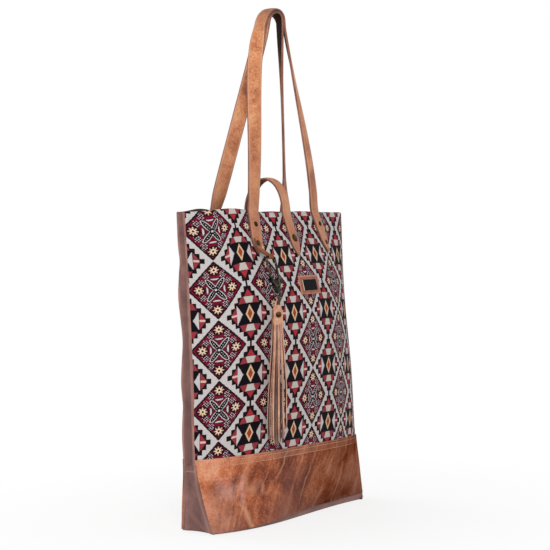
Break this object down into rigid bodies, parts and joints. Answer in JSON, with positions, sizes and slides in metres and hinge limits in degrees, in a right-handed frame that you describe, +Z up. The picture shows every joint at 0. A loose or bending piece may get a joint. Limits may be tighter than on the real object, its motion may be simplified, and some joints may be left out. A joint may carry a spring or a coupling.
{
  "type": "tote bag",
  "caption": "Tall shoulder tote of patterned woven cloth with a leather base, tapered side gussets, twisted leather straps, a closure tab and a clip-on tassel.",
  "frame": {"origin": "middle of the base, on the surface that the bag stands on", "axes": "+Z up along the bag, -Y out of the front panel, +X to the right as seen from the front"},
  "size_m": [0.3686, 0.1428, 0.722],
  "materials": {
    "patterned_cloth": "woven multicolour cloth in maroon, black, cream and pale grey",
    "cognac_leather": "smooth cognac leather",
    "base_leather": "glossy pull-up cognac leather with pale creases",
    "mauve_leather": "matt mauve-brown leather",
    "tassel_leather": "soft peach-tan leather",
    "dark_leather": "dark smooth inset",
    "antique_brass": "dark antique brass",
    "gunmetal": "worn gunmetal plating"
  },
  "bodies": {
    "bag": {"back_base_band": "base_leather", "back_panel": "patterned_cloth", "back_shoulder_strap": "cognac_leather", "bottom_panel": "mauve_leather", "closure_rivet": "antique_brass", "closure_snap": "antique_brass", "closure_tab": "cognac_leather", "front_base_band": "base_leather", "front_panel": "patterned_cloth", "front_shoulder_strap": "cognac_leather", "label_inset": "dark_leather", "label_patch": "cognac_leather", "left_base_gusset": "mauve_leather", "left_gusset": "mauve_leather", "loop_rivet": "antique_brass", "right_base_gusset": "mauve_leather", "right_gusset": "mauve_leather", "strap_rivets": "antique_brass", "tassel_strap_loop": "cognac_leather"},
    "snap_hook": {"snap_hook_frame": "gunmetal", "gate_pin": "gunmetal"},
    "hook_gate": {"hook_gate": "gunmetal"},
    "tassel": {"swivel_eye": "gunmetal", "tassel_fold": "tassel_leather", "tassel_wrap": "tassel_leather", "tassel_rivet": "antique_brass", "tassel_fringe": "tassel_leather"}
  },
  "joints": [
    {"name": "hook_swing", "type": "hinge", "parent": "bag", "child": "snap_hook", "pos_m": [-0.079, -0.05164, 0.371], "axis": [-1, 0, 0], "range_deg": [0, 105]},
    {"name": "gate_open", "type": "hinge", "parent": "snap_hook", "child": "hook_gate", "pos_m": [-0.0702, -0.06114, 0.33992], "axis": [0, -0.9563, 0.2924], "range_deg": [0, 25], "stiffness_Nm_per_rad": 0.004, "springref_deg": -17.19},
    {"name": "tassel_swivel", "type": "hinge", "parent": "snap_hook", "child": "tassel", "pos_m": [-0.079, -0.0645, 0.32892], "axis": [0, 0, 1], "continuous": true}
  ]
}
